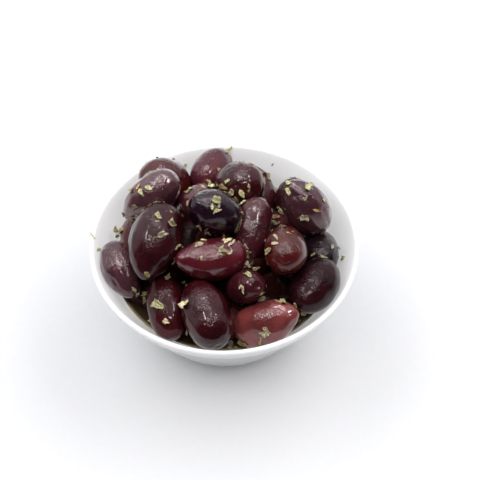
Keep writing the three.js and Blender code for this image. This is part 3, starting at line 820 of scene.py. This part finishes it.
def grow_olive(heap, row, fineness, seed):
    """One olive: a sphere drawn out to its profile, dented, creased and pitted, with its colour and grain stored."""
    olive = {**PLAIN_OLIVE, **row}
    draw = random.Random(seed)
    fruit = add_layers(bmesh.new(), SKIN_LAYERS)
    grain = fruit.verts.layers.float_vector["grain"]
    tint = fruit.verts.layers.float_color["tint"]
    wear = fruit.verts.layers.float_vector["wear"]
    sides, rings = fineness
    bmesh.ops.create_uvsphere(fruit, u_segments=sides, v_segments=rings, radius=1)
    turn, middle = stand(olive), Vector(olive["mid"])
    apart = Vector([draw.uniform(-GRAIN_SPREAD, GRAIN_SPREAD) for _ in range(3)])
    skin = (*linear(olive["skin"])[:3], olive["film"])
    lean = draw.uniform(0, 2 * math.pi)
    flat_side = draw.uniform(FLAT_SIDE_LEAST, FLAT_SIDE_MOST)
    for vert in fruit.verts:
        place = max(-1.0, min(1.0, vert.co.z))
        round_it = math.atan2(vert.co.y, vert.co.x)
        radius = olive["wide"] / 2 * fullness(place, olive["tip"], olive["blunt"])
        # One long side is a little flatter than the other.
        radius *= 1 - flat_side * max(0, math.cos(round_it - lean)) ** 2
        local = Vector((radius * math.cos(round_it), radius * math.sin(round_it), place * olive["long"] / 2))
        outward = Vector((math.cos(round_it), math.sin(round_it), place)).normalized()
        # Soft dents, and folds along the olive where it has dried, both dying out at its ends.
        dent = noise.noise(local / DENT_SIZE + apart) * DENT_DEPTH
        dent += noise.noise(local / SMALL_DENT_SIZE - apart) * SMALL_DENT_DEPTH
        along = Vector((local.x / FOLD_WIDTH, local.y / FOLD_WIDTH, local.z / FOLD_LENGTH)) + apart
        fold = -abs(noise.noise(along)) * olive["wrinkle"] * FOLD_DEPTH
        local += outward * (dent + fold) * (1 - abs(place) ** 6)
        hollow = math.exp(-((radius / STEM_PIT_RADIUS) ** 2)) if place < 0 else 0
        local.z += hollow * olive["pit"]
        local.y += olive["curl"] * place ** 2
        vert[grain] = local + apart
        vert[tint] = skin
        vert[wear] = (max(0, (turn @ outward).z), olive["wrinkle"], olive["shine"])
        vert.co = (middle + turn @ local) * MM
    pour_into(heap, fruit)


def packed_olive(ring, number):
    """One olive of a ring, laid round it."""
    turn = 2 * math.pi * number / ring["count"]
    return dict(
        PACKED_OLIVE,
        mid=(ring["radius"] * math.cos(turn), ring["radius"] * math.sin(turn), ring["height"]),
        bearing=math.degrees(turn) + 90 + PACKED_SWING * math.sin(ring["count"] + 2 * number),
        rise=PACKED_RISE * math.cos(ring["count"] + 3 * number),
        skin=PACKED_SKINS[number % len(PACKED_SKINS)],
    )


def heap_core():
    """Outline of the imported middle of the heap, under every olive that shows."""
    dome = [
        (
            CORE_SHOULDER_RADIUS * math.cos(angle),
            CORE_SHOULDER_HEIGHT + (CORE_TOP - CORE_SHOULDER_HEIGHT) * math.sin(angle),
        )
        for angle in quarter_turn(CORE_DOME_STEPS)[1:-1]
    ]
    foot = FLOOR_HEIGHT + CLEARANCE
    return [(0, foot), (CORE_FOOT_RADIUS, foot), (CORE_SHOULDER_RADIUS, CORE_SHOULDER_HEIGHT), *dome, (0, CORE_TOP)]


heap = add_layers(bmesh.new(), SKIN_LAYERS)
for number, olive in enumerate(OLIVES.values()):
    grow_olive(heap, olive, SHOWN_FINENESS, number)
for number, olive in enumerate(DEEP_OLIVES.values()):
    grow_olive(heap, olive, DEEP_FINENESS, DEEP_SEED + number)
for ring in PACKED_RINGS:
    for number in range(ring["count"]):
        grow_olive(heap, packed_olive(ring, number), PACKED_FINENESS, PACKED_SEED + 10 * ring["count"] + number)
core = add_layers(spin_profile(heap_core(), CORE_TURN_STEPS), SKIN_LAYERS)
# The core takes its painted shade as its skin colour.
for vert in core.verts:
    vert[core.verts.layers.float_color["tint"]] = linear(CORE_SHADE)
    vert[core.verts.layers.float_vector["grain"]] = vert.co / MM
pour_into(heap, core)
bmesh.ops.recalc_face_normals(heap, faces=heap.faces)
heap_tree = BVHTree.FromBMesh(heap)
olive_heap = finish_piece("olive_heap", heap, oiled_olive_skin(), "olives")


# ---- Oil ----
def oil_profile():
    """Outline of the oil, down to the corner of the floor, with its edge drawn half a millimetre up the wall."""
    low, rim = FLOOR_CORNER_HEIGHT + CLEARANCE, inner_radius(OIL_LEVEL)
    return [
        (0, low),
        (inner_radius(low) - 0.2, low),
        (rim - 0.12, OIL_LEVEL + 0.45),
        (rim - 0.5, OIL_LEVEL + 0.2),
        (rim - 1.1, OIL_LEVEL + 0.05),
        (rim - 2.2, OIL_LEVEL),
        (0, OIL_LEVEL),
    ]


oil_shell = spin_profile(oil_profile(), OIL_TURN_STEPS)
oil_tree = BVHTree.FromBMesh(oil_shell)
oil_pool = finish_piece("oil_pool", oil_shell, olive_oil(), "oil")

# ---- Herb flakes ----
# What the herb's material reads: the leaf's colour, with how pale its torn edge is, partly painted highlight, as the
# alpha.
LEAF_LAYERS = dict(leaf="float_color")


def leaf_bit(leaves, place, facing, along, long, wide, kind, draw):
    """One torn, curled leaf bit: a small grid with ragged edges, bent, thickened and laid on what carries it."""
    bit = add_layers(bmesh.new(), LEAF_LAYERS)
    bmesh.ops.create_grid(bit, x_segments=LEAF_GRID[0], y_segments=LEAF_GRID[1], size=0.5)
    fold, bend, narrow = draw.uniform(0.1, 0.8), draw.uniform(-0.5, 0.5), draw.uniform(0.1, 0.8)
    ragged = Vector([draw.uniform(0, 90) for _ in range(3)])
    colour = Vector(linear(LEAF_COLOURS[kind])[:3]) * draw.uniform(0.8, 1.25)
    leaf = bit.verts.layers.float_color["leaf"]
    for vert in bit.verts:
        x, y = vert.co.x, vert.co.y
        torn = noise.noise_vector(Vector((x * TEARS_PER_LEAF, y * TEARS_PER_LEAF, 0)) + ragged)
        edge = max(abs(x), abs(y)) * 2
        # The edge's paleness, partly painted highlight, is stored with the colour.
        vert[leaf] = (*colour, PALE_EDGE_AND_HIGHLIGHT * edge ** 3 * max(0, 0.4 + 2 * torn.z))
        y *= 1 - narrow * (x + 0.5) ** 2
        x *= 1 - CORNER_CUT * abs(y) * 2 * edge
        vert.co = (
            (x + torn.x * TEAR_ALONG * edge) * long,
            (y + torn.y * TEAR_ACROSS * edge) * wide,
            (fold * abs(y) + bend * x * x * 2) * wide + torn.z * CRUMPLE * wide + LEAF_LIFT,
        )
    bmesh.ops.solidify(bit, geom=bit.faces[:], thickness=LEAF_THICKNESS)
    facing = facing.normalized()
    side = facing.cross(along).normalized()
    turn = Matrix((side.cross(facing), side, facing)).transposed()
    for vert in bit.verts:
        vert.co = place + turn @ (vert.co * MM)
    bmesh.ops.recalc_face_normals(bit, faces=bit.faces)
    pour_into(leaves, bit)


def first_hit(start, toward):
    """What a straight line meets first: its name, point and facing."""
    best = None
    for name, tree in (("olives", heap_tree), ("oil", oil_tree), ("bowl", bowl_tree)):
        point, facing, _, distance = tree.ray_cast(start, toward)
        if point is not None and (best is None or distance < best[0]):
            best = (distance, name, point, facing if facing.dot(toward) < 0 else -facing)
    return best[1:] if best else None


def placed_flake(leaves_on, across, down, long, wide, tilt, kind, draw):
    """A leaf bit where a sight line meets the food, lengthened where its rest is slanted away from the viewer."""
    toward = sight_line(across, down)
    carrier, point, facing = first_hit(LENS_AT, toward)
    as_seen = RIGHT * math.cos(math.radians(tilt)) + UPWARD * math.sin(math.radians(tilt))
    along = as_seen - toward * (as_seen.dot(facing) / min(-0.3, toward.dot(facing)))
    along -= facing * along.dot(facing)
    side = facing.cross(along).normalized()
    narrowed = max(0.6, (side - toward * side.dot(toward)).length)
    leaf_bit(
        leaves_on[carrier], point, facing, along,
        long * FLAKE_GROWTH * min(1.5, along.length), wide * FLAKE_GROWTH / narrowed, kind, draw,
    )


def hidden_flake(leaves_on, draw):
    """A leaf bit dropped on an olive at random; says whether it found a rest that the viewer can't see."""
    turn, rise = draw.uniform(0, 2 * math.pi), draw.uniform(0.15, 1.1)
    away = Vector((math.cos(turn) * math.cos(rise), math.sin(turn) * math.cos(rise), math.sin(rise)))
    aim = at(*[draw.uniform(*span) for span in HIDDEN_AIM])
    met = first_hit(aim + away * DROP_DISTANCE, -away)
    if met is None or met[0] != "olives" or met[2].z < LEAST_UPWARD:
        return False
    _, point, facing = met
    seen = first_hit(LENS_AT, (point - LENS_AT).normalized())
    if seen and (seen[1] - point).length < SAME_SPOT:
        return False
    long = HIDDEN_SHORTEST + (HIDDEN_LONGEST - HIDDEN_SHORTEST) * draw.random() ** 1.5
    along = facing.cross(Vector([draw.uniform(-1, 1) for _ in range(3)]))
    kind = draw.choice(HIDDEN_KINDS)
    wide = long * draw.uniform(HIDDEN_NARROWEST, HIDDEN_WIDEST)
    leaf_bit(leaves_on["olives"], point, facing, along, long, wide, kind, draw)
    return True


leaves_on = {name: add_layers(bmesh.new(), LEAF_LAYERS) for name in ("olives", "oil", "bowl")}
leaf_draw = random.Random(FLAKE_SEED)
for flakes in FLAKES.values():
    for flake in flakes:
        placed_flake(leaves_on, *flake, leaf_draw)
hidden = 0
while hidden < HIDDEN_FLAKES:
    hidden += hidden_flake(leaves_on, leaf_draw)
herb = dried_herb()
herbs = [
    finish_piece("herb_flakes_on_" + name, leaves_on[name], herb, name)
    for name, slot_name in (("olives", "olive_skin"), ("oil", "oil"), ("bowl", "porcelain"))
]

# ---- Table and light ----
table_mesh = bmesh.new()
bmesh.ops.create_grid(table_mesh, x_segments=2, y_segments=2, size=TABLE_REACH)
table_data = bpy.data.meshes.new("table")
table_mesh.to_mesh(table_data)
table_mesh.free()
table_data.materials.append(matt_card())
table = bpy.data.objects.new("table", table_data)
bpy.context.scene.collection.objects.link(table)


def soft_light(name, rise, bearing, size, share, receivers, blockers=None):
    """A lamp at a rise and a bearing from the back, clockwise; share is the white it gives a card facing it.

    It lights the receivers alone, and only the blockers shade it, or everything where none are given."""
    rise, bearing = math.radians(rise), math.radians(bearing)
    away = Vector((math.sin(bearing) * math.cos(rise), math.cos(bearing) * math.cos(rise), math.sin(rise)))
    lamp = bpy.data.lights.new(name, "AREA")
    lamp.shape = "RECTANGLE"
    lamp.size, lamp.size_y = size
    lamp.energy = share * math.pi ** 2 * LAMP_DISTANCE ** 2
    lamp.color = linear(LAMP_COLOUR)[:3]
    placed = bpy.data.objects.new(name, lamp)
    placed.location = away * LAMP_DISTANCE
    placed.rotation_euler = away.to_track_quat("Z", "Y").to_euler()
    placed.visible_camera = False
    placed.light_linking.receiver_collection = receivers
    placed.light_linking.blocker_collection = blockers
    bpy.context.scene.collection.objects.link(placed)


food, pale_things = (bpy.data.collections.new(name) for name in ("food", "pale_things"))
for thing in (olive_heap, oil_pool, *herbs):
    food.objects.link(thing)
for thing in (bowl, table, *herbs):
    pale_things.objects.link(thing)
# A soft box overhead gives the food its broad sheen. The wet skins mirror a square of narrow tubes round it as a
# broken white outline.
soft_light("box_overhead", 76, 5, (0.2, 0.14), 0.12, food)
for name, rise, bearing, share in (
    ("tube_left", 62, -90, 0.26), ("tube_right", 66, 95, 0.24),
    ("tube_front", 70, 180, 0.16), ("tube_back", 66, -5, 0.14),
):
    soft_light(name, rise, bearing, TUBE_SIZE, share, food)
# Wide panels light the bowl, the table and the herbs.
for name, rise, bearing, size, share in (
    ("panel_front", 62, 180, (1.3, 0.4), 0.86), ("panel_left", 44, -62, (0.8, 0.4), 0.64),
    ("panel_right", 44, 62, (0.8, 0.4), 0.8),
):
    soft_light(name, rise, bearing, size, share, pale_things, pale_things)

# A pale tent over the back half of the dish, a little past overhead, brighter high up and to the left. The side of
# the viewer is dark.
world = bpy.data.worlds.new("tent")
world.use_nodes = True
toward = add_node(world, "ShaderNodeTexCoord").outputs["Generated"]
parts = add_node(world, "ShaderNodeSeparateXYZ", Vector=toward)
inside = add_node(
    world, "ShaderNodeVectorMath", {"operation": "DOT_PRODUCT"}, _0=toward, _1=Vector(TENT_MIDDLE).normalized(),
).outputs["Value"]
lit = add_node(
    world, "ShaderNodeMapRange", EASED, Value=inside, From_Min=TENT_EDGE_OUTER, From_Max=TENT_EDGE_INNER,
).outputs["Result"]
height = add_node(
    world, "ShaderNodeMapRange", CLAMPED, Value=parts.outputs["Z"], From_Max=0.9, To_Min=TENT_LOW, To_Max=TENT_HIGH,
).outputs["Result"]
across = add_node(
    world, "ShaderNodeMapRange", CLAMPED,
    Value=parts.outputs["X"], From_Min=-1.0, To_Min=TENT_LEFT, To_Max=TENT_RIGHT,
).outputs["Result"]
cloth = add_node(world, "ShaderNodeMath", TIMES, _0=height, _1=across).outputs[0]
glow = add_node(
    world, "ShaderNodeMath", {"operation": "MULTIPLY_ADD"}, _0=lit, _1=cloth, _2=ROOM_GLOW,
).outputs[0]
set_inputs(world, world.node_tree.nodes["Background"], Strength=glow, Color=linear(TENT_COLOUR))
bpy.context.scene.world = world
bpy.context.scene.view_settings.view_transform = "Standard"
